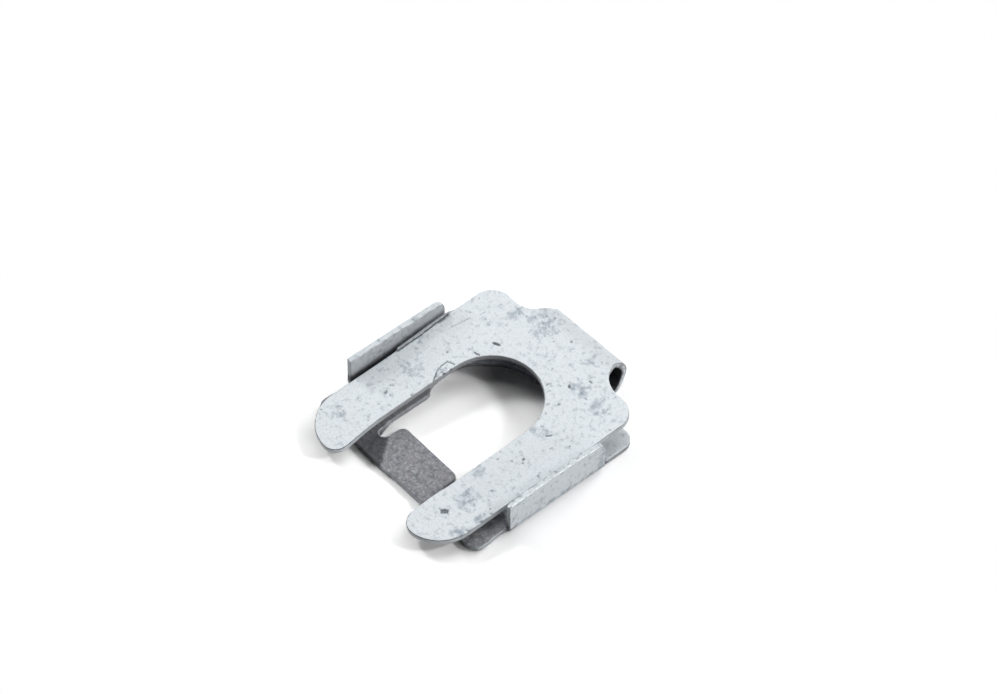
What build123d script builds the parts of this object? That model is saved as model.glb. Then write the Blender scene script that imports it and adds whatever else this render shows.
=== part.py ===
"""Retaining clip for a grooved pin, folded from one blank of sheet steel.

The horseshoe plate on top slides into the pin's groove, the frame below drops
over the pin's end and its tongue stops the pin in the horseshoe's mouth.

Millimetres. The origin is on the pin's axis at the frame's underside,
+Z is up and +Y points from the mouth to the fold.
"""

from build123d import *

import math
import os

# sheet
sheet_thickness = 0.8

# horseshoe plate, distances along Y from the pin's axis
slot_width = 14.2
mouth_width = 13.3
mouth_neck_start = 13.0
mouth_neck_end = 18.2
prong_reach = 20.9
width_over_prongs = 28.8
width_over_shoulders = 29.4
shoulder_start = 3.9
prong_outer_radius = 5.7
prong_inner_radius = 2.0
upper_lobe_rear = 12.9
upper_lobe_radius = 3.0
upper_flare_radius = 3.5
closing_angle = 3.9

# curl that joins the two plates
neck_width = 13.5
curl_height = 4.46
curl_centre = 15.0

# frame plate
hole_diameter = 16.6
channel_width = 14.8
tongue_width = 11.2
tongue_rear = 10.0
tongue_corner_radius = 1.1
slit_front = 13.4
slit_corner_radius = 0.9
bar_front = 16.6
width_over_ears = 31.9
ear_radius = 1.8
ear_rear = 14.0
waist_width = 31.5
waist_front = 12.4
waist_blend_radius = 8.0
width_over_lower_lobes = 32.0
lower_lobe_rear = 11.4
lower_lobe_radius = 2.0
lower_flare_radius = 7.2
lower_lobe_front_radius = 0.3
relief_width = 0.4
relief_depth = 0.5

# side flanges
width_over_flanges = 32.8
flange_height = 5.4
flange_front = 10.7
flange_rear = 5.5
flange_bend_radius = 0.15
flange_corner_radius = 1.5

# sections of the loft round the curl
curl_sections = 19


def half_angle(loop, index):
    """Half the angle between the two sides that meet at a corner."""
    x, y, _ = loop[index]
    before = loop[index - 1]
    after = loop[(index + 1) % len(loop)]
    to_before = Vector(before[0] - x, before[1] - y)
    to_after = Vector(after[0] - x, after[1] - y)
    return math.radians(to_before.get_angle(to_after)) / 2


def fitted_radii(loop):
    """Corner radii, made smaller together where two arcs would overlap on the side they share."""
    reaches = [corner[2] / math.tan(half_angle(loop, index)) for index, corner in enumerate(loop)]
    shares = [1] * len(loop)
    for index, corner in enumerate(loop):
        side = math.dist(loop[index - 1][:2], corner[:2])
        wanted = reaches[index - 1] + reaches[index]
        if wanted > side:
            shares[index - 1] = min(shares[index - 1], side / wanted)
            shares[index] = min(shares[index], side / wanted)
    return [corner[2] * share for corner, share in zip(loop, shares)]


def arc_points(loop, index, radius):
    """Start, middle and end of the arc that rounds one corner."""
    point = Vector(loop[index][0], loop[index][1])
    before = loop[index - 1]
    after = loop[(index + 1) % len(loop)]
    to_before = (Vector(before[0], before[1]) - point).normalized()
    to_after = (Vector(after[0], after[1]) - point).normalized()
    half = half_angle(loop, index)
    reach = radius / math.tan(half)
    inward = (to_before + to_after).normalized()
    middle = point + inward * (radius / math.sin(half) - radius)
    return point + to_before * reach, middle, point + to_after * reach


def mirrored_outline(corners):
    """Face inside a right-hand chain of (x, y, radius) corners and its mirror image."""
    left = [(-x, y, radius) for x, y, radius in reversed(corners) if x > 0]
    loop = corners + left
    edges = []
    ends = []
    for index, radius in enumerate(fitted_radii(loop)):
        start = end = Vector(loop[index][0], loop[index][1])
        if radius > 0:
            start, middle, end = arc_points(loop, index, radius)
            edges.append(Edge.make_three_point_arc(start, middle, end))
        ends.append((start, end))
    for index, (_, end) in enumerate(ends):
        start = ends[(index + 1) % len(ends)][0]
        if (start - end).length > 1e-6:
            edges.append(Edge.make_line(end, start))
    return Face(Wire(edges))


def flare(radius, distance):
    """How far a flare has widened the neck, at a distance from the lobe's rear edge."""
    if distance >= radius:
        return 0
    return radius - math.sqrt(radius**2 - (radius - distance) ** 2)


def curl_radii():
    """Outer and middle radius of the curl."""
    outer = curl_height / 2
    return outer, outer - sheet_thickness / 2


def upper_frame():
    """Height of the horseshoe's top face at the pin's axis and where it meets the curl."""
    outer, _ = curl_radii()
    angle = math.radians(closing_angle)
    height = outer + outer / math.cos(angle) - curl_centre * math.tan(angle)
    tangent = curl_centre / math.cos(angle) - (outer + outer / math.cos(angle)) * math.sin(angle)
    return height, tangent + outer * math.tan(angle)


def horseshoe():
    """The upper plate with its slot, prongs, shoulders and lobes."""
    height, meeting = upper_frame()
    beyond = upper_lobe_rear + upper_flare_radius + 1
    corners = [
        (0, beyond, 0),
        (neck_width / 2, beyond, 0),
        (neck_width / 2, upper_lobe_rear, upper_flare_radius),
        (width_over_shoulders / 2, upper_lobe_rear, upper_lobe_radius),
        (width_over_shoulders / 2, -shoulder_start, 0),
        (width_over_prongs / 2, -shoulder_start, 0),
        (width_over_prongs / 2, -prong_reach, prong_outer_radius),
        (mouth_width / 2, -prong_reach, prong_inner_radius),
        (mouth_width / 2, -mouth_neck_end, 0),
        (slot_width / 2, -mouth_neck_start, 0),
        (slot_width / 2, slot_width / 2, slot_width / 2),
        (0, slot_width / 2, 0),
    ]
    blank = mirrored_outline(corners)
    ahead_of_curl = Pos(0, meeting - 50) * Rectangle(100, 100)
    plate = extrude(blank & ahead_of_curl, amount=-sheet_thickness)
    return Pos(0, 0, height) * Rot(closing_angle, 0, 0) * plate


def opening():
    """The pin's hole, the channel in front of it and the slits beside the tongue."""
    channel = mirrored_outline([
        (0, 0, 0),
        (channel_width / 2, 0, 0),
        (channel_width / 2, -slit_front, slit_corner_radius),
        (tongue_width / 2, -slit_front, slit_corner_radius),
        (tongue_width / 2, -tongue_rear, tongue_corner_radius),
        (0, -tongue_rear, 0),
    ])
    return Sketch() + Circle(hole_diameter / 2) + channel


def frame_plate():
    """The lower plate with its ears, lobes, bar and opening."""
    beyond = lower_lobe_rear + lower_flare_radius + 1
    bend_start = width_over_flanges / 2 - sheet_thickness - flange_bend_radius
    corners = [
        (0, -bar_front, 0),
        (width_over_ears / 2, -bar_front, ear_radius),
        (width_over_ears / 2, -ear_rear, waist_blend_radius),
        (waist_width / 2, -waist_front, waist_blend_radius),
        (waist_width / 2, -flange_front, 0),
        (bend_start, -flange_front, 0),
        (bend_start, flange_rear, 0),
        (bend_start - relief_depth, flange_rear, 0),
        (bend_start - relief_depth, flange_rear + relief_width, 0),
        (width_over_lower_lobes / 2, flange_rear + relief_width, lower_lobe_front_radius),
        (width_over_lower_lobes / 2, lower_lobe_rear, lower_lobe_radius),
        (neck_width / 2, lower_lobe_rear, lower_flare_radius),
        (neck_width / 2, beyond, 0),
        (0, beyond, 0),
    ]
    blank = mirrored_outline(corners)
    ahead_of_curl = Pos(0, curl_centre - 50) * Rectangle(100, 100)
    return extrude((blank & ahead_of_curl) - opening(), amount=sheet_thickness)


def neck():
    """The curl, lofted through sections across the sheet so that its edges keep the flares."""
    outer, middle = curl_radii()
    _, meeting = upper_frame()
    first = math.radians(-closing_angle)
    sections = []
    for index in range(curl_sections):
        angle = first + (math.pi - first) * index / (curl_sections - 1)
        from_upper = meeting - upper_lobe_rear + middle * (angle - first)
        from_lower = curl_centre - lower_lobe_rear + middle * (math.pi - angle)
        widening = flare(upper_flare_radius, from_upper) + flare(lower_flare_radius, from_lower)
        across = Plane(
            origin=(0, curl_centre + middle * math.sin(angle), outer + middle * math.cos(angle)),
            x_dir=(1, 0, 0),
            z_dir=(0, math.cos(angle), -math.sin(angle)),
        )
        sections.append(across * Rectangle(neck_width + 2 * widening, sheet_thickness))
    return loft(sections)


def flange():
    """The right-hand side flange with the bend at its foot."""
    outside = width_over_flanges / 2
    inside = outside - sheet_thickness
    bend_start = inside - flange_bend_radius
    bend_top = sheet_thickness + flange_bend_radius
    outer_middle = Vector(bend_start, bend_top) + Vector(bend_top, 0).rotate(Axis.Z, -45)
    inner_middle = Vector(bend_start, bend_top) + Vector(flange_bend_radius, 0).rotate(Axis.Z, -45)
    outline = Wire([
        Edge.make_three_point_arc((bend_start, 0), outer_middle, (outside, bend_top)),
        Edge.make_line((outside, bend_top), (outside, flange_height)),
        Edge.make_line((outside, flange_height), (inside, flange_height)),
        Edge.make_line((inside, flange_height), (inside, bend_top)),
        Edge.make_three_point_arc((inside, bend_top), inner_middle, (bend_start, sheet_thickness)),
        Edge.make_line((bend_start, sheet_thickness), (bend_start, 0)),
    ])
    upright = Plane(origin=(0, flange_rear, 0), x_dir=(1, 0, 0), z_dir=(0, -1, 0))
    wall = extrude(upright * Face(outline), amount=flange_front + flange_rear)
    top_edges = wall.edges().filter_by(Axis.X).group_by(Axis.Z)[-1]
    return fillet(top_edges.sort_by(Axis.Y)[-1], flange_corner_radius)


def retaining_clip():
    """The folded sheet as one solid."""
    right_flange = flange()
    return horseshoe() + neck() + frame_plate() + right_flange + mirror(right_flange, Plane.YZ)


os.makedirs("parts", exist_ok=True)
clip = retaining_clip()
clip.label = "retaining_clip"
export_step(clip, "parts/retaining_clip.step")
box = clip.bounding_box()
print(f"solids {len(clip.solids())}, volume {clip.volume:.1f} mm3, valid {clip.is_valid}")
print(f"size {box.size.X:.2f} x {box.size.Y:.2f} x {box.size.Z:.2f} mm")
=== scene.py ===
"""Retaining clip folded from zinc-plated spring steel, dressed for a studio picture.

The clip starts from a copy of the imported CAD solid. Its sheared edges are rounded, its faces are
cut into small cells, and then it is leaned, worn, dented and pitted as a used one is.
Lengths here are in metres, as the frame is, unless a name or a comment says millimetres.
"""

import math

import bmesh
import bpy
from bpy.props import FloatProperty, FloatVectorProperty, PointerProperty
from mathutils import Matrix, Vector, noise
from mathutils.bvhtree import BVHTree


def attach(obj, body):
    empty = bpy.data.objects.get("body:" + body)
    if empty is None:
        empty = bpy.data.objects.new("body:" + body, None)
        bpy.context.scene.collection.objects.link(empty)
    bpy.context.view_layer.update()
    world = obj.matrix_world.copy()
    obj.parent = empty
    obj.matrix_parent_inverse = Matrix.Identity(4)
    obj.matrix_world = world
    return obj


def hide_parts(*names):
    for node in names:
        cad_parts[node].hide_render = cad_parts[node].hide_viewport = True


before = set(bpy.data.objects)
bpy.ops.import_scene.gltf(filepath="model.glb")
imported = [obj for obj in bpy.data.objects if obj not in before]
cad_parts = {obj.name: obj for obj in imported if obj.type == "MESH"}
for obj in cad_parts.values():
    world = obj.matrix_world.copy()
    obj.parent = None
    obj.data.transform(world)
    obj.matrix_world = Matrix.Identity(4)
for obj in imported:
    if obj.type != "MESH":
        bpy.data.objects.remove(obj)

bl_info = {
    "name": "Retaining clip",
    "version": (1, 0, 0),
    "blender": (4, 5, 0),
    "location": "View3D > Sidebar > Retaining clip",
    "description": "A zinc-plated retaining clip and the studio stage that it is pictured on",
    "category": "Object",
}

NODE = "retaining_clip"
MM = 0.001

# sizes of the folded sheet, in millimetres, as the solid has them
SHEET = 0.8
CURL_CENTRE = 15.0
CURL_HEIGHT = 4.46
FLANGE_FOOT = 15.45
FLANGE_HEIGHT = 5.4
FLANGE_FRONT = 10.7
FLANGE_REAR = 5.5
# a height in the gap between the two plates, where only the curl and the flanges pass
ABOVE_FRAME = 1.0
# the flanges stand outside this half-width, and the horseshoe lies inside it
INSIDE_FLANGES = 15.2

# dents in the horseshoe's top: half-width, depth and path in plan, in millimetres
DENTS = (
    (0.32, 0.10, ((-10.2, -9.2),)),
    (0.22, 0.06, ((-10.6, -8.0),)),
    (0.22, 0.04, ((-9.3, -11.1),)),
    (0.20, 0.04, ((-13.0, -4.8),)),
    (0.20, 0.04, ((-12.9, -6.6),)),
    (0.24, 0.05, ((-7.5, -7.0),)),
    (0.24, 0.06, ((-9.7, 0.9),)),
    (0.20, 0.09, ((-7.0, 3.5), (-6.5, 3.7))),
    (0.22, 0.15, ((-6.6, 6.4), (-6.0, 6.6))),
    (0.24, 0.06, ((3.3, 7.0),)),
    (0.22, 0.06, ((4.3, 6.5),)),
    (0.22, 0.05, ((5.8, 5.0),)),
    (0.20, 0.05, ((6.7, 3.8),)),
    (0.32, 0.10, ((5.5, 8.9),)),
    (0.26, 0.06, ((6.8, 6.0),)),
    (0.24, 0.07, ((0.2, 14.0),)),
    (0.26, 0.07, ((10.3, -3.1),)),
    (0.22, 0.06, ((10.7, -3.6),)),
    (0.22, 0.05, ((9.5, -4.4),)),
    (0.22, 0.05, ((13.5, -3.5),)),
    (0.14, 0.07, ((9.5, 1.4), (9.9, 2.0))),
    (0.24, 0.07, ((6.6, 2.5),)),
    (0.42, 0.13, ((9.35, -15.95), (9.65, -15.65))),
    (0.20, 0.04, ((1.9, 9.2),)),
    (0.20, 0.04, ((8.0, -5.5),)),
    (0.20, 0.04, ((-1.4, 12.3),)),
    (0.24, 0.05, ((-4.2, 15.0),)),
    (0.22, 0.04, ((-5.2, 14.4),)),
    (0.16, 0.07, ((6.7, 11.4), (7.1, 11.4))),
    (0.30, 0.06, ((13.9, -15.5),)),
    (0.30, 0.06, ((14.0, -13.4),)),
    (0.26, 0.05, ((13.9, -11.7),)),
    # the scratch on the left lobe
    (0.12, 0.03, ((-12.5, 4.3), (-12.0, 6.8))),
    # the groove that the punch left along the left edge
    (0.15, 0.12, ((-14.35, -3.8), (-14.3, 0.1), (-14.5, 5.1))),
    # the torn burr at the slot's left edge: its outline, its swelling and its holes
    (0.13, 0.07, ((-7.3, -3.5), (-8.2, -2.1), (-8.5, -1.2), (-8.5, -0.1), (-7.6, 0.3))),
    (0.55, -0.04, ((-7.7, -2.2), (-7.7, -0.6))),
    (0.26, 0.16, ((-7.0, -3.0),)),
    (0.18, 0.14, ((-7.3, -1.8), (-7.0, -1.4))),
    (0.22, 0.12, ((-7.1, -0.6),)),
    (0.14, 0.06, ((-7.9, -2.5),)),
    (0.14, 0.07, ((-8.1, -1.5),)),
    (0.12, 0.06, ((-7.7, -1.9), (-7.6, -1.7))),
    (0.14, 0.06, ((-7.8, -0.9),)),
    (0.14, 0.06, ((-8.1, -0.5),)),
    (0.12, 0.06, ((-7.5, -2.7),)),
)

# stained patches: middle in plan and radius, in millimetres
STAINS = (
    (10.2, -12.9, 2.4),
    (7.6, -8.5, 1.2),
    (14.0, -13.5, 1.6),
    (13.2, -16.5, 1.3),
    (-12.0, -15.9, 1.5),
    (-10.8, -4.1, 1.8),
    (-7.5, -2.2, 1.2),
    (-8.6, 11.8, 1.4),
    (-4.5, 13.4, 3.0),
    (4.2, 13.8, 1.6),
    (6.9, 9.5, 1.8),
    (11.1, 9.3, 1.8),
    (8.2, 1.5, 1.6),
    (16.2, 5.4, 1.4),
)

# lamps: azimuth and elevation in degrees from the clip, width and height in degrees as the clip
# sees them, level on the floor, and whether the metal mirrors them
LAMPS = {
    "softbox_top": (110, 62, 34, 34, 0.04, True),
    "softbox_right": (46, 34, 9, 8, 0.20, True),
    "softbox_rear": (91, 33, 34, 18, 0.24, False),
    "softbox_left": (183, 30, 12, 9, 0.24, False),
    "softbox_low_left": (212, 15, 28, 6, 0.10, True),
    "softbox_low_right": (10, 16, 30, 10, 0.11, True),
    "reflector": (140, 50, 58, 46, 0.21, True),
}

# from the clip to each lamp, and the place on the floor that the camera looks at
LAMP_DISTANCE = 0.9
PICTURE_MIDDLE = Vector((-8.1825, 8.5502, 0.0)) * MM


def linear(code):
    """Linear red, green and blue of an sRGB hex colour."""
    parts = [int(code[start : start + 2], 16) / 255 for start in (0, 2, 4)]
    return [part / 12.92 if part <= 0.04045 else ((part + 0.055) / 1.055) ** 2.4 for part in parts]


def smooth_step(low, high, value):
    """0 below low, 1 above high and a smooth rise between them."""
    share = min(1.0, max(0.0, (value - low) / (high - low)))
    return share * share * (3 - 2 * share)


# ---------------------------------------------------------------- sizes and colours


class ClipSizes(bpy.types.PropertyGroup):
    """Sizes of the clip's wear, edges and cells."""

    edge_radius: FloatProperty(
        name="Edge radius",
        description="Rounding of the sheared edges",
        default=0.13 * MM,
        min=0.0,
        unit="LENGTH",
    )
    cell: FloatProperty(
        name="Cell",
        description="Side of the cells that the faces are cut into",
        default=0.4 * MM,
        min=0.1 * MM,
        unit="LENGTH",
    )
    lean: FloatProperty(
        name="Lean",
        description="How far the horseshoe has turned about the pin's axis against the frame",
        default=math.radians(-1.3),
        subtype="ANGLE",
    )
    waviness: FloatProperty(
        name="Waviness",
        description="Height of the slow waves that rolling and tumbling leave in the faces",
        default=0.012 * MM,
        min=0.0,
        unit="LENGTH",
    )


class ClipColours(bpy.types.PropertyGroup):
    """Colours of the plating, and of the shade painted on it."""

    zinc: FloatVectorProperty(
        name="Zinc",
        description="Clean plating",
        default=linear("eaf0f4"),
        subtype="COLOR",
    )
    stain: FloatVectorProperty(
        name="Stain",
        description="Blue-grey mottling where the plating is thin",
        default=linear("a9b4be"),
        subtype="COLOR",
    )
    # also painted: the thin dark lines on the horseshoe's lips and the dark dashes of shade on the
    # right flange's top take this colour
    pit_and_shade: FloatVectorProperty(
        name="Pit",
        description="Dark bottoms of the pits",
        default=linear("566069"),
        subtype="COLOR",
    )
    # also painted shade: the same colour darkens the recesses, the horseshoe's underside, the
    # flanges' sides, the frame beside the left channel and the sheared edges in the slot
    dull_and_shade: FloatVectorProperty(
        name="Dull plating",
        description="The dark, violet-grey plating of the stop tongue, the cross bar and the ears",
        default=linear("949398"),
        subtype="COLOR",
    )
    sheared: FloatVectorProperty(
        name="Sheared edge",
        description="The rougher, greyer plating on the punched edges of the sheet",
        default=linear("c0c6c9"),
        subtype="COLOR",
    )
    # painted shade: a near-black put inside the curl, at the left flange's foot, in the recesses,
    # on the horseshoe's underside and as the left prong's shadow on the bar
    painted_shade: FloatVectorProperty(
        name="Bare steel",
        description="Dark steel in the recesses that the plating bath hardly reached",
        default=linear("26282b"),
        subtype="COLOR",
    )


class StudioSettings(bpy.types.PropertyGroup):
    """The camera's place and the strength of the light."""

    azimuth: FloatProperty(
        name="Azimuth",
        description="Turn of the camera about the clip, from straight in front of the mouth",
        default=math.radians(49.197),
        subtype="ANGLE",
    )
    elevation: FloatProperty(
        name="Elevation",
        description="Height of the camera above the horizon",
        default=math.radians(49.782),
        subtype="ANGLE",
    )
    distance: FloatProperty(
        name="Distance",
        description="From the camera to the middle of the picture on the floor",
        default=0.42667,
        min=0.1,
        unit="LENGTH",
    )
    lens: FloatProperty(
        name="Lens",
        description="Focal length of the camera, in millimetres on a 36 mm frame",
        default=115.54,
        min=20,
        unit="CAMERA",
    )
    fill: FloatProperty(
        name="Fill",
        description="Strength of the even light from all round, where 1 is white",
        default=0.005,
        min=0.0,
        max=1.0,
    )


# ---------------------------------------------------------------- nodes


def add_node(tree, kind, inputs=(), **settings):
    """Adds a node with its settings; an input given as a socket is linked, and any other is set."""
    node = tree.nodes.new(kind)
    for name, value in settings.items():
        setattr(node, name, value)
    for name, value in dict(inputs).items():
        if isinstance(value, bpy.types.NodeSocket):
            tree.links.new(value, node.inputs[name])
        else:
            node.inputs[name].default_value = value
    return node


def empty_tree(owner):
    """The owner's node tree, with nothing in it."""
    owner.use_nodes = True
    owner.node_tree.nodes.clear()
    return owner.node_tree


def colour(value):
    """A colour property as the four numbers of a colour socket."""
    return (*value, 1.0)


def zinc_plated_steel(colours):
    """Electroplated zinc over spring steel, dulled by passivation and barrel tumbling.

    It gives the eye a pale blue-grey metal with a soft, broad shine, mottled and finely pitted.
    The clip's own attributes say where it is pitted, stained or sheared, where the plating is
    duller, where its rims are rubbed, and where shade, dark lines and glints are painted on it.
    """
    material = bpy.data.materials.new("zinc_plated_steel")
    tree = empty_tree(material)
    place = add_node(tree, "ShaderNodeTexCoord").outputs["Object"]
    millimetres = add_node(
        tree, "ShaderNodeMapping", {"Vector": place, "Scale": (1 / MM,) * 3}
    ).outputs["Vector"]
    values = {
        name: add_node(tree, "ShaderNodeAttribute", attribute_name=name).outputs["Fac"]
        for name in ("painted_shade", "dull_and_shade", "pit_and_shade", "rim", "sheared", "stain")
    }
    # patterns, with the number of their features to the millimetre
    for name, scale, detail in (
        ("clouds", 0.4, 4),  # cloudy mottling in blotches 2 to 3 mm wide
        ("sponge", 1.3, 6),  # ragged stains, 0.8 mm across, with fine holes in them
        ("glint_specks", 3.0, 4),  # specks 0.2 mm across, painted pale on the duller plating as glints
        ("specks", 2.6, 2),  # fine pits, 0.15 mm across
        ("grain", 3.2, 3),  # grain of the plating, 0.2 mm
    ):
        values[name] = add_node(
            tree,
            "ShaderNodeTexNoise",
            {"Vector": millimetres, "Scale": scale, "Detail": detail, "Roughness": 0.6},
        ).outputs["Fac"]
    # where a pattern is stronger: a share of one value added to another
    for name, value, share, other in (
        ("gathered specks", "clouds", 0.25, "specks"),
        ("gathered sponge", "clouds", 0.2, "sponge"),
        ("stained sponge", "stain", 0.17, "gathered sponge"),
        ("dull crystals", "dull_and_shade", 0.35, "glint_specks"),
        ("dull sponge", "dull_and_shade", 0.35, "gathered sponge"),
    ):
        values[name] = add_node(
            tree,
            "ShaderNodeMath",
            {0: values[value], 1: share, 2: values[other]},
            operation="MULTIPLY_ADD",
        ).outputs["Value"]
    # a value's way from low to high, as a number from first to last
    for name, value, low, high, first, last in (
        ("grainy", "grain", 0.45, 0.75, 0.0, 0.3),
        ("blotched", "stained sponge", 0.64, 0.88, 0.0, 1.0),
        ("pitted", "gathered specks", 0.84, 0.90, 0.0, 1.0),
        ("sooty", "dull sponge", 0.90, 1.06, 0.0, 0.5),
        ("painted_glints", "dull crystals", 0.83, 1.15, 0.0, 0.5),
        ("sunken_and_shaded", "pit_and_shade", 0.0, 1.0, 0.0, 0.8),
        ("half metallic", "sheared", 0.0, 1.0, 0.3, 0.2),
        ("matt", "grain", 0.3, 0.7, 0.42, 0.56),
    ):
        values[name] = add_node(
            tree,
            "ShaderNodeMapRange",
            {
                "Value": values[value],
                "From Min": low,
                "From Max": high,
                "To Min": first,
                "To Max": last,
            },
        ).outputs["Result"]
    # layers of colour, each over the last; 6 and 7 are the Mix node's colours and 2 its result
    finish = colour(colours.zinc)
    for share, paint in (
        ("grainy", colours.stain),
        ("blotched", colours.stain),
        ("sheared", colours.sheared),
        # the tongue's duller plating, and painted shade wherever the clip is marked as shaded
        ("dull_and_shade", colours.dull_and_shade),
        ("sooty", colours.pit_and_shade),
        ("pitted", colours.pit_and_shade),
        # painted glints on the duller plating
        ("painted_glints", colours.zinc),
        # pits, and the painted dark lines and dashes of shade
        ("sunken_and_shaded", colours.pit_and_shade),
        # painted shade
        ("painted_shade", colours.painted_shade),
    ):
        finish = add_node(
            tree,
            "ShaderNodeMix",
            {"Factor": values[share], 6: finish, 7: colour(paint)},
            data_type="RGBA",
        ).outputs[2]
    roughness = values["matt"]
    for name, share in (("dull_and_shade", 0.12), ("rim", -0.25), ("pit_and_shade", 1.0)):
        roughness = add_node(
            tree,
            "ShaderNodeMath",
            {0: values[name], 1: share, 2: roughness},
            operation="MULTIPLY_ADD",
        ).outputs["Value"]
    metallic = add_node(
        tree,
        "ShaderNodeMath",
        {0: values["rim"], 1: 0.4, 2: values["half metallic"]},
        operation="MULTIPLY_ADD",
    ).outputs["Value"]
    relief = add_node(
        tree,
        "ShaderNodeMath",
        {0: values["pitted"], 1: -1.5, 2: values["grain"]},
        operation="MULTIPLY_ADD",
    ).outputs["Value"]
    bump = add_node(
        tree,
        "ShaderNodeBump",
        {"Height": relief, "Strength": 0.35, "Distance": 0.04 * MM},
    ).outputs["Normal"]
    surface = add_node(
        tree,
        "ShaderNodeBsdfPrincipled",
        {
            "Base Color": finish,
            "Metallic": metallic,
            "Roughness": roughness,
            "Normal": bump,
        },
    ).outputs["BSDF"]
    add_node(tree, "ShaderNodeOutputMaterial", {"Surface": surface})
    return material


# ---------------------------------------------------------------- the folded sheet


def merged_copy(node):
    """A mesh of the node in millimetres, its loose triangles merged and flat faces made whole."""
    bm = bmesh.new()
    bm.from_mesh(node.data)
    bmesh.ops.scale(bm, vec=(1 / MM,) * 3, verts=bm.verts)
    bmesh.ops.remove_doubles(bm, verts=bm.verts, dist=0.004)
    bmesh.ops.dissolve_limit(bm, angle_limit=math.radians(0.3), verts=bm.verts, edges=bm.edges)
    return bm


def sheared_faces(bm):
    """A tree of the solid's triangles, and for each how far it is a rough, sheared edge.

    A sheared edge has much more metal behind it than the sheet is thick. The flanges' tops are
    sheared too, but rubbed nearly smooth.
    """
    square = bm.copy()
    bmesh.ops.triangulate(square, faces=square.faces)
    tree = BVHTree.FromBMesh(square)
    sheared = []
    for face in square.faces:
        middle = face.calc_center_median()
        depth = tree.ray_cast(middle - face.normal * 0.01, -face.normal)[3] or 0
        folded = (
            abs(middle.x) > FLANGE_FOOT - 0.2
            and -FLANGE_FRONT < middle.y < FLANGE_REAR
            and middle.z < ABOVE_FRAME
            and abs(face.normal.y) < 0.5
        )
        burnished = 0.25 if face.normal.z > 0.7 else 1.0
        sheared.append(burnished * (depth > 1.5 * SHEET and not folded))
    square.free()
    return tree, sheared


def round_edges(bm, radius):
    """Rounds the edges of the sheet, and marks the rounding and the sheared faces."""
    rim = bm.verts.layers.float.new("rim")
    sheared = bm.verts.layers.float.new("sheared")
    square, is_sheared = sheared_faces(bm)
    sharp = [edge for edge in bm.edges if edge.calc_face_angle(0) > math.radians(35)]
    rounded = bmesh.ops.bevel(
        bm,
        geom=sharp,
        offset=radius,
        offset_type="OFFSET",
        affect="EDGES",
        segments=4,
        profile=0.5,
        clamp_overlap=False,
        material=-1,
    )
    for vert in rounded["verts"]:
        nearest, _, index, distance = square.find_nearest(vert.co)
        vert[rim] = min(1.0, distance / (0.07 * radius))
        vert[sheared] = is_sheared[index]
        if distance > radius / 2:
            vert.co = nearest
    bmesh.ops.remove_doubles(bm, verts=bm.verts, dist=0.003)


def cut_into_cells(bm, cell):
    """Cuts the faces by planes across X, Y and Z, a cell apart."""
    bmesh.ops.triangulate(bm, faces=bm.faces)
    for axis in range(3):
        normal = Vector((axis == 0, axis == 1, axis == 2))
        places = [vert.co[axis] for vert in bm.verts]
        low = min(places)
        count = math.ceil((max(places) - low) / cell)
        for step in range(1, count):
            bmesh.ops.bisect_plane(
                bm,
                geom=bm.verts[:] + bm.edges[:] + bm.faces[:],
                dist=1e-4,
                plane_co=normal * (low + step * cell),
                plane_no=normal,
            )


def on_frame(point):
    """Whether a point lies on the frame plate, its burrs and waves included."""
    return point.z < 1.1


def stands_out(point):
    """Whether a point is on the horseshoe or a flange, ahead of the curl, where hands rub it."""
    return point.z > 1.4 and point.y < 12


def upper_share(point):
    """1 on the horseshoe, 0 on the frame and in between round the curl."""
    if point.y < CURL_CENTRE:
        return float(point.z > ABOVE_FRAME and abs(point.x) < INSIDE_FLANGES)
    return smooth_step(SHEET, CURL_HEIGHT - 1.1, point.z)


def lean_horseshoe(bm, angle):
    """Turns the horseshoe a little about the pin's axis, fading out round the curl."""
    for vert in bm.verts:
        turn = Matrix.Rotation(angle * upper_share(vert.co), 3, "Z")
        vert.co = turn @ vert.co


def settle_prongs(vert):
    """How far the prongs' tips are from where the lean alone would put them."""
    x, y, z = vert.co
    if z < ABOVE_FRAME or y > -13:
        return Vector()
    if x < 0:
        return Vector((0.12, 0.1, 0)) * smooth_step(14.5, 19.5, -y)
    inner = 1 - smooth_step(7.5, 10.5, x)
    return Vector((0.52, 0.12, 0)) * inner * smooth_step(14, 20.5, -y)


def settle_curl(vert):
    """The fold runs a little askew: its right end stands further back, and its left end is short.

    At the right end the lower half sticks out, the upper plate is cut in a little deeper, and the
    sheet has swollen inwards where it was bent hardest.
    """
    x, y, z = vert.co
    fold = smooth_step(13.0, 16.5, y)
    askew = min(1.2, max(0.0, (x + 6.75) / 13.5))
    right = smooth_step(3, 7, x)
    left = smooth_step(3.5, 6.7, -x) * smooth_step(14.8, 16.4, y)
    lower = smooth_step(3.4, 1.6, z) * smooth_step(14.0, 15.5, y)
    upper = smooth_step(2.6, 3.4, z) * smooth_step(12.4, 14.2, y) * smooth_step(16.5, 15.2, y)
    outwards = right * (0.3 * lower - 0.35 * upper - 0.15 * fold) + 0.6 * left
    offset = Vector((0, CURL_CENTRE - y, CURL_HEIGHT / 2 - z))
    inner = smooth_step(1.8, 1.5, offset.length) * smooth_step(14.0, 15.0, y)
    return Vector((outwards, 0.62 * askew * fold, 0)) + 0.18 * right * inner * offset


def settle_ledge(vert):
    """Shearing has drawn out a thin ledge along the horseshoe's left edge, beside the flange."""
    x, y, z = vert.co
    if z < 2 or not -INSIDE_FLANGES < x < -14:
        return Vector()
    along = smooth_step(-4.0, -3.6, y) * smooth_step(6.2, 5.4, y)
    drawn = 0.08 + 0.24 * smooth_step(-3.5, 4.5, y)
    return Vector((-drawn * along * smooth_step(-14.2, -14.6, x), 0, 0))


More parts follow.
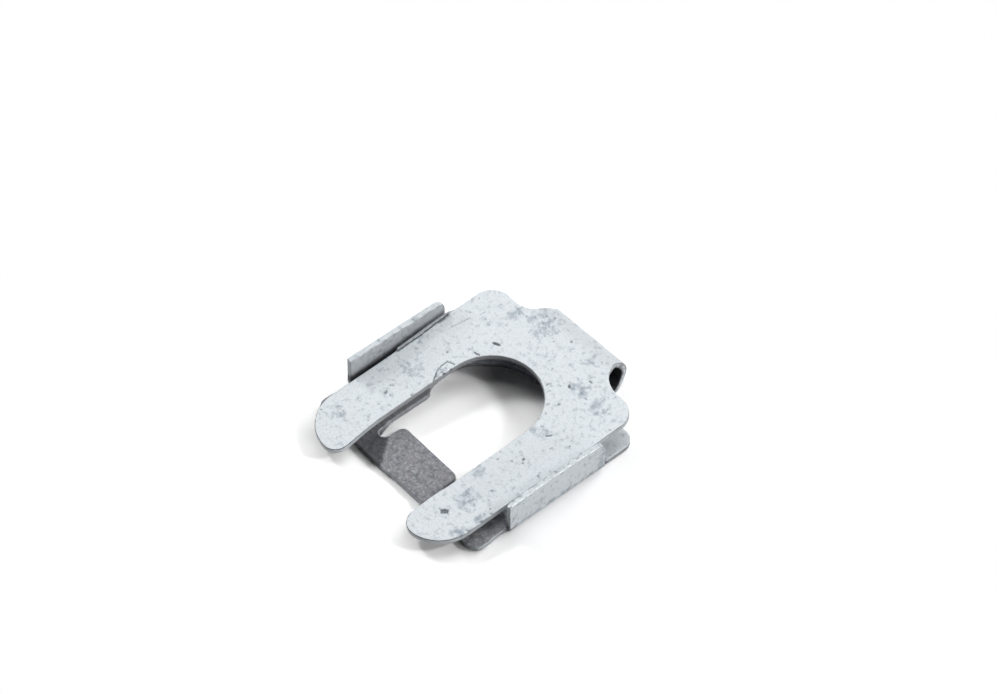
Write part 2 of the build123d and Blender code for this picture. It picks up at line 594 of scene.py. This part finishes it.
def settle_flanges(vert):
    """The flanges lean in a little, and shearing has left their tops uneven."""
    x, y, z = vert.co
    if abs(x) < FLANGE_FOOT or not -FLANGE_FRONT - 0.1 < y < FLANGE_REAR + 0.1 or z < SHEET:
        return Vector()
    rise = (z - SHEET) / (FLANGE_HEIGHT - SHEET)
    middle = math.sin(math.pi * (y + FLANGE_FRONT) / (FLANGE_FRONT + FLANGE_REAR))
    inwards = rise * (0.15 if x < 0 else 0.22 * middle)
    inner_side = smooth_step(16.4, 15.7, abs(x))
    along_top = Vector((x, 1.3 * y, 0))
    ragged = smooth_step(0.9, 1.0, rise) * inner_side * (0.12 + 0.2 * noise.noise(along_top))
    return Vector((-math.copysign(inwards, x), 0, -ragged))


def settle_frame(vert):
    """A wider hole at the left, a step back in the bar's front and a burr in the left slit."""
    x, y, z = vert.co
    if not on_frame(vert.co):
        return Vector()
    wider = 0.55 * smooth_step(-12, -9, x) * smooth_step(-5.5, -6.5, x)
    wider *= smooth_step(-4.4, -3.0, y) * smooth_step(5.5, 2.5, y)
    step = 0.25 * smooth_step(-1.6, -0.4, x) * smooth_step(15.4, 16.3, -y)
    beside = max(0.0, 1 - abs(x + 7.4) / 1.2)
    burr = beside * smooth_step(10.5, 13.0, -y) * smooth_step(14.4, 13.8, -y)
    return Vector((burr * (0.3 + 0.3 * (z < 0.4)) - wider, step, 0))


def settle(bm):
    """Moves the sheet to where the used clip has it, apart from the horseshoe's lean."""
    for vert in bm.verts:
        vert.co += (
            settle_prongs(vert)
            + settle_curl(vert)
            + settle_ledge(vert)
            + settle_flanges(vert)
            + settle_frame(vert)
        )


def away_from(path, point):
    """Distance in plan from a point to a line along a path, which may be a single place."""
    place = Vector((point.x, point.y))
    nearest = math.inf
    for start, end in zip(path, path[1:] + path[-1:]):
        along = Vector(end) - Vector(start)
        offset = place - Vector(start)
        share = min(1.0, max(0.0, offset.dot(along) / max(along.length_squared, 1e-9)))
        nearest = min(nearest, (offset - along * share).length)
    return nearest


def on_top(vert):
    """Whether a vertex lies on the horseshoe's top or the curl's."""
    return vert.normal.z > 0.5 and vert.co.z > 1.9 and abs(vert.co.x) < INSIDE_FLANGES


def press_dents(bm):
    """Cuts the cells finer round each dent, presses the dents in and marks them as pits."""
    bm.normal_update()
    near = {
        vert
        for vert in bm.verts
        if on_top(vert) and any(away_from(path, vert.co) < reach + 0.35 for reach, _, path in DENTS)
    }
    edges = [edge for edge in bm.edges if near.issuperset(edge.verts)]
    bmesh.ops.subdivide_edges(bm, edges=edges, cuts=3, use_grid_fill=True)
    pit_and_shade = bm.verts.layers.float.new("pit_and_shade")
    bm.normal_update()
    for vert in bm.verts:
        if not on_top(vert):
            continue
        ragged = 1 + 0.6 * noise.noise(vert.co * 5)
        drop = 0
        for reach, depth, path in DENTS:
            share = 1 - (ragged * away_from(path, vert.co) / reach) ** 2
            if share > 0:
                drop += depth * share
                vert[pit_and_shade] = max(vert[pit_and_shade], min(1.0, max(0.0, depth) * share / 0.08))
        vert.co.z -= drop


def make_wavy(bm, height):
    """Slow waves in the faces, along their normals, and coarser ones in the sheared edges."""
    sheared = bm.verts.layers.float["sheared"]
    bm.normal_update()
    for vert in bm.verts:
        wave = noise.noise(vert.co * 0.35) + 0.5 * noise.noise(vert.co * 0.9)
        torn = vert[sheared] * abs(noise.noise(vert.co * 2.2))
        vert.co -= vert.normal * height * (0.5 + wave + 3 * torn)


def recess(tree, vert, reach):
    """How much of what a vertex faces, within a reach, is the clip itself."""
    side = vert.normal.orthogonal().normalized()
    start = vert.co + vert.normal * 0.03
    rays = [vert.normal]
    for tilt in (math.radians(35), math.radians(65)):
        for turn in range(6):
            across = Matrix.Rotation(turn * math.pi / 3 + tilt, 3, vert.normal) @ side
            rays.append(vert.normal * math.cos(tilt) + across * math.sin(tilt))
    return sum(tree.ray_cast(start, ray, reach)[0] is not None for ray in rays) / len(rays)


def mark_curl(bm):
    """Paints shade into the inside of the curl, near black, as a deep recess looks."""
    painted_shade = bm.verts.layers.float.new("painted_shade")
    for vert in bm.verts:
        away = math.hypot(vert.co.y - CURL_CENTRE, vert.co.z - CURL_HEIGHT / 2)
        vert[painted_shade] = smooth_step(1.68, 1.5, away) * smooth_step(13.0, 14.0, vert.co.y)


def lip_share(vert, rounding):
    """How far a vertex lies on the horseshoe's upper lip, which gets a painted thin dark line for
    the dark that it reflects.
    """
    steep = smooth_step(0.99, 0.93, vert.normal.z) * smooth_step(-0.1, 0.2, vert.normal.z)
    return rounding * steep * (stands_out(vert.co) and abs(vert.co.x) < INSIDE_FLANGES)


def dull_and_shade_share(vert, cut):
    """How far the duller colour goes on by place, as the tongue's own duller plating and as painted
    shade; cut says how far it is a sheared edge.
    """
    x, y, z = vert.co
    above = z > ABOVE_FRAME
    # the tongue's duller plating, which also paints shade on the bar and on the ears under the
    # prongs
    front = smooth_step(9.2, 9.8, -y) * on_frame(vert.co) * (1 - cut)
    # a little darker over the curl
    darker_curl = 0.25 * smooth_step(CURL_CENTRE - 1.5, CURL_CENTRE + 1, y)
    # painted shade on the sheared edges inside the slot and round the frame, and on the band round
    # the curl's end, where it dims the glint
    inner_edge = abs(x) < 8 or z < ABOVE_FRAME or z > 2.6 and 12 < y < 15.5
    edge = 0.7 * cut * inner_edge * smooth_step(-13, -11, y)
    ledge = 0.5 * (-INSIDE_FLANGES < x < -14.4 and -4 < y < 6.2 and z > 2)
    # painted shade on the left flange's inner side and, lighter, on the right flange's outer side
    left_flange = 0.5 * (x < -INSIDE_FLANGES and above and vert.normal.x > 0.5)
    right_flange = 0.12 * (x > INSIDE_FLANGES and vert.normal.x > 0.5)
    # painted shade on the frame beside the left channel, under the left prong's edge
    beside_channel = (-13 < y < 3) * smooth_step(-9.5, -8.5, x) * (x < -5.7)
    strip = 0.8 * on_frame(vert.co) * beside_channel
    return max(front, darker_curl, edge, ledge, left_flange, right_flange, strip)


def painted_shade_share(point):
    """Where shade is painted: darkening at the left flange's foot, and the left prong's shadow on
    the bar.
    """
    x, y, z = point
    # painted shade, darkest at the left flange's foot
    foot = 0.85 * smooth_step(2.7, 1.7, z) * (x < -INSIDE_FLANGES and z > ABOVE_FRAME)
    # painted shadow of the left prong on the bar, with a sharp edge from the slit's end towards the
    # front
    prong_side = -5.4 - 0.78 * (y + 12.7)
    prong_shadow = smooth_step(prong_side + 0.15, prong_side - 0.15, x) * smooth_step(-7.8, -6.4, x)
    return max(foot, 0.75 * prong_shadow * (on_frame(point) and y < -11.5))


def stain_share(point):
    """How stained the plating is: along the flanges' feet, on the left flange and in patches."""
    x, y, z = point
    if abs(x) > 16 and z < 1.8:
        share = 1.1 * smooth_step(1.8, 1.0, z)
    else:
        share = 0.3 * (x < -INSIDE_FLANGES and z > ABOVE_FRAME)
    for middle_x, middle_y, radius in STAINS:
        away = math.hypot(x - middle_x, y - middle_y) / radius
        share = max(share, 1 - away * away)
    return share


def mark_plating(bm):
    """Marks where the plating is dull, stained or thin, and keeps only the rubbed rims bright.

    The frame's front has the tongue's duller plating, and the same colour paints shade on the bar
    and the ears. The curl is a little darker.
    Shade is painted into the gap between the plates, on the horseshoe's underside, along its lips
    and on the flanges' sides, and the left prong's shadow is painted on the bar.
    """
    dull_and_shade = bm.verts.layers.float.new("dull_and_shade")
    stain = bm.verts.layers.float.new("stain")
    painted_shade, pit_and_shade, rim, sheared = (
        bm.verts.layers.float[name] for name in ("painted_shade", "pit_and_shade", "rim", "sheared")
    )
    tree = BVHTree.FromBMesh(bm)
    for vert in bm.verts:
        x, y, z = vert.co
        above = z > ABOVE_FRAME
        # painted shade where the clip faces itself, deep between the plates
        gap = smooth_step(0.7, 1.0, recess(tree, vert, 5.0)) * smooth_step(14.0, 12.0, abs(x))
        # painted shade on the horseshoe's underside
        under = smooth_step(-0.5, -0.9, vert.normal.z) * (above and y < CURL_CENTRE)
        tip = smooth_step(15.5, 17.5, -y) * above
        # painted thin dark line on the lips, for the dark that they reflect, darker near the tips
        lip = lip_share(vert, vert[rim])
        # the sheared edges at the tips get less of the greyer colour, as painted light from the
        # bright floor in front of them
        vert[sheared] *= 1 - 0.7 * tip
        vert[dull_and_shade] = max(dull_and_shade_share(vert, vert[sheared]), 0.6 * lip, 0.9 * gap, 0.9 * under)
        vert[painted_shade] = max(vert[painted_shade], painted_shade_share(vert.co), 0.4 * gap, 0.4 * under)
        vert[pit_and_shade] = max(vert[pit_and_shade], (0.2 + 0.35 * tip) * lip)
        vert[stain] = stain_share(vert.co)
        # the slit's rim is kept plain zinc, lighter than a sheared edge, as a painted glint
        slit = abs(x + 6.5) < 1.3 and -14 < y < -12.2 and z > 0.3 and on_frame(vert.co)
        if slit and vert[rim] > 0.2:
            vert[dull_and_shade] = vert[sheared] = 0
        # painted shade: dark dashes along the right flange's top, where the gap beside the
        # horseshoe shows
        shade_dashed_top = z > 5 and 15 < x < 16
        if shade_dashed_top:
            vert[pit_and_shade] = 0.7 * smooth_step(0.1, 0.35, noise.noise(Vector((3 * x, 4 * y, 0))))
        shine = 1.0 if abs(x) > INSIDE_FLANGES else 0.3
        vert[rim] *= shine * (stands_out(vert.co) and x > -15)


def to_mesh(bm, name):
    """The finished mesh in metres, smoothly shaded, with its faces outwards."""
    bmesh.ops.triangulate(bm, faces=bm.faces)
    bmesh.ops.scale(bm, vec=(MM,) * 3, verts=bm.verts)
    for face in bm.faces:
        face.smooth = True
    mesh = bpy.data.meshes.new(name)
    bm.to_mesh(mesh)
    bm.free()
    return mesh


class OBJECT_OT_add_retaining_clip(bpy.types.Operator):
    """Add the folded clip, with rounded edges, wear and zinc plating"""

    bl_idname = "object.add_retaining_clip"
    bl_label = "Retaining clip"
    bl_options = {"REGISTER", "UNDO"}

    def execute(self, context):
        sizes = context.scene.clip_sizes
        bm = merged_copy(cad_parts[NODE])
        round_edges(bm, sizes.edge_radius / MM)
        cut_into_cells(bm, sizes.cell / MM)
        mark_curl(bm)
        lean_horseshoe(bm, sizes.lean)
        settle(bm)
        press_dents(bm)
        make_wavy(bm, sizes.waviness / MM)
        mark_plating(bm)
        clip = bpy.data.objects.new("clip", to_mesh(bm, "clip"))
        context.scene.collection.objects.link(clip)
        clip.data.materials.append(zinc_plated_steel(context.scene.clip_colours))
        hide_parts(NODE)
        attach(clip, "root")
        return {"FINISHED"}


# ---------------------------------------------------------------- the stage


def seen_rays(tree):
    """1 for the rays that show the background: from the camera, and through gloss and glass.

    A ray that a matt surface has scattered on its way no longer shows it.
    """
    path = add_node(tree, "ShaderNodeLightPath")
    total = path.outputs["Is Camera Ray"]
    for kind in ("Is Glossy Ray", "Is Transmission Ray"):
        total = add_node(
            tree,
            "ShaderNodeMath",
            {0: total, 1: path.outputs[kind]},
            operation="ADD",
            use_clamp=True,
        ).outputs["Value"]
    unscattered = add_node(
        tree, "ShaderNodeMath", {0: path.outputs["Diffuse Depth"], 1: 0.5}, operation="LESS_THAN"
    ).outputs["Value"]
    return add_node(
        tree, "ShaderNodeMath", {0: total, 1: unscattered}, operation="MULTIPLY"
    ).outputs["Value"]


def pale_world(scene, fill):
    """A weak, even light from all round, with a white backdrop that shows low down."""
    world = bpy.data.worlds.new("studio")
    scene.world = world
    tree = empty_tree(world)
    towards = add_node(tree, "ShaderNodeTexCoord").outputs["Generated"]
    height = add_node(tree, "ShaderNodeSeparateXYZ", {"Vector": towards}).outputs["Z"]
    low = add_node(
        tree,
        "ShaderNodeMapRange",
        {"Value": height, "From Min": 0.1, "From Max": 0.2, "To Min": 1.0, "To Max": 0.0},
        interpolation_type="SMOOTHSTEP",
    ).outputs["Result"]
    share = add_node(
        tree, "ShaderNodeMath", {0: low, 1: seen_rays(tree)}, operation="MULTIPLY"
    ).outputs["Value"]
    even = add_node(
        tree, "ShaderNodeBackground", {"Color": (1, 1, 1, 1), "Strength": fill}
    ).outputs["Background"]
    white = add_node(
        tree, "ShaderNodeBackground", {"Color": (1, 1, 1, 1), "Strength": 1.0}
    ).outputs["Background"]
    mixed = add_node(tree, "ShaderNodeMixShader", {0: share, 1: even, 2: white})
    add_node(tree, "ShaderNodeOutputWorld", {"Surface": mixed.outputs["Shader"]})


def matt_white_paper():
    """Matt white paper, which shows the clip's shadow near it and is plain white further off.

    The camera sees it a little over-exposed, and it sends little light back under the clip.
    """
    material = bpy.data.materials.new("matt_white_paper")
    tree = empty_tree(material)
    camera_ray = add_node(tree, "ShaderNodeLightPath").outputs["Is Camera Ray"]
    dim = add_node(
        tree, "ShaderNodeMapRange", {"Value": seen_rays(tree), "To Min": 0.2, "To Max": 0.9}
    ).outputs["Result"]
    tone = add_node(
        tree, "ShaderNodeMapRange", {"Value": camera_ray, "To Min": dim, "To Max": 1.33}
    ).outputs["Result"]
    paper = add_node(tree, "ShaderNodeBsdfDiffuse", {"Color": tone}).outputs["BSDF"]
    white = add_node(tree, "ShaderNodeEmission", {"Strength": 1.0}).outputs["Emission"]
    place = add_node(tree, "ShaderNodeTexCoord").outputs["Object"]
    distance = add_node(
        tree, "ShaderNodeVectorMath", {0: place}, operation="LENGTH"
    ).outputs["Value"]
    far = add_node(
        tree,
        "ShaderNodeMapRange",
        {"Value": distance, "From Min": 40 * MM, "From Max": 70 * MM},
        interpolation_type="SMOOTHSTEP",
    ).outputs["Result"]
    share = add_node(
        tree, "ShaderNodeMath", {0: far, 1: seen_rays(tree)}, operation="MULTIPLY"
    ).outputs["Value"]
    mixed = add_node(tree, "ShaderNodeMixShader", {0: share, 1: paper, 2: white})
    add_node(tree, "ShaderNodeOutputMaterial", {"Surface": mixed.outputs["Shader"]})
    return material


def add_floor(scene):
    """A round sheet of paper just under the clip."""
    bm = bmesh.new()
    bmesh.ops.create_circle(bm, cap_ends=True, segments=96, radius=4.0)
    bmesh.ops.translate(bm, vec=(0, 0, -0.01 * MM), verts=bm.verts)
    mesh = bpy.data.meshes.new("floor")
    bm.to_mesh(mesh)
    bm.free()
    mesh.materials.append(matt_white_paper())
    floor = bpy.data.objects.new("floor", mesh)
    scene.collection.objects.link(floor)


def direction(azimuth, elevation):
    """Unit vector with its azimuth from +X towards +Y and its elevation, both in degrees."""
    turn, rise = math.radians(azimuth), math.radians(elevation)
    return Vector(
        (math.cos(turn) * math.cos(rise), math.sin(turn) * math.cos(rise), math.sin(rise))
    )


def add_softbox(scene, name, azimuth, elevation, width, height, level, mirrored):
    """A rectangular lamp that points at the clip and lights the floor to the given level.

    One that isn't mirrored gives light and shadow but no glare, as behind a polarising filter.
    """
    towards = direction(azimuth, elevation)
    lamp = bpy.data.lights.new(name, "AREA")
    lamp.shape = "RECTANGLE"
    lamp.size = 2 * LAMP_DISTANCE * math.tan(math.radians(width) / 2)
    lamp.size_y = 2 * LAMP_DISTANCE * math.tan(math.radians(height) / 2)
    lamp.energy = level * (math.pi * LAMP_DISTANCE) ** 2 / towards.z
    softbox = bpy.data.objects.new(name, lamp)
    softbox.location = towards * LAMP_DISTANCE
    softbox.rotation_euler = towards.to_track_quat("Z", "Y").to_euler()
    softbox.visible_glossy = mirrored
    scene.collection.objects.link(softbox)


def add_camera(scene, studio):
    """The camera at the photograph's angle, with the clip left of and below the middle."""
    back = Vector(
        (
            math.sin(studio.azimuth) * math.cos(studio.elevation),
            -math.cos(studio.azimuth) * math.cos(studio.elevation),
            math.sin(studio.elevation),
        )
    )
    data = bpy.data.cameras.new("camera")
    data.lens = studio.lens
    data.clip_start = 0.01
    camera = bpy.data.objects.new("camera", data)
    camera.location = PICTURE_MIDDLE + back * studio.distance
    camera.rotation_euler = (math.pi / 2 - studio.elevation, 0, studio.azimuth)
    scene.collection.objects.link(camera)
    scene.camera = camera


class SCENE_OT_add_clip_studio(bpy.types.Operator):
    """Add the pale floor, the soft light and the camera"""

    bl_idname = "scene.add_clip_studio"
    bl_label = "Studio stage"
    bl_options = {"REGISTER", "UNDO"}

    def execute(self, context):
        scene = context.scene
        studio = scene.clip_studio
        scene.view_settings.view_transform = "Standard"
        pale_world(scene, studio.fill)
        add_floor(scene)
        for name, lamp in LAMPS.items():
            add_softbox(scene, name, *lamp)
        add_camera(scene, studio)
        return {"FINISHED"}


class VIEW3D_PT_retaining_clip(bpy.types.Panel):
    """The clip's pieces, sizes and colours"""

    bl_label = "Retaining clip"
    bl_space_type = "VIEW_3D"
    bl_region_type = "UI"
    bl_category = "Retaining clip"

    def draw(self, context):
        layout = self.layout
        for operator in (OBJECT_OT_add_retaining_clip, SCENE_OT_add_clip_studio):
            layout.operator(operator.bl_idname, text=operator.bl_label)
        for settings in (
            context.scene.clip_sizes,
            context.scene.clip_colours,
            context.scene.clip_studio,
        ):
            box = layout.box()
            for name in type(settings).__annotations__:
                box.prop(settings, name)


CLASSES = (
    ClipSizes,
    ClipColours,
    StudioSettings,
    OBJECT_OT_add_retaining_clip,
    SCENE_OT_add_clip_studio,
    VIEW3D_PT_retaining_clip,
)


def register():
    for item in CLASSES:
        bpy.utils.register_class(item)
    bpy.types.Scene.clip_sizes = PointerProperty(type=ClipSizes)
    bpy.types.Scene.clip_colours = PointerProperty(type=ClipColours)
    bpy.types.Scene.clip_studio = PointerProperty(type=StudioSettings)


def unregister():
    del bpy.types.Scene.clip_studio
    del bpy.types.Scene.clip_colours
    del bpy.types.Scene.clip_sizes
    for item in reversed(CLASSES):
        bpy.utils.unregister_class(item)


def main():
    """Builds the clip and its stage."""
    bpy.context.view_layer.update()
    register()
    bpy.ops.object.add_retaining_clip()
    bpy.ops.scene.add_clip_studio()


if __name__ == "__main__":
    main()
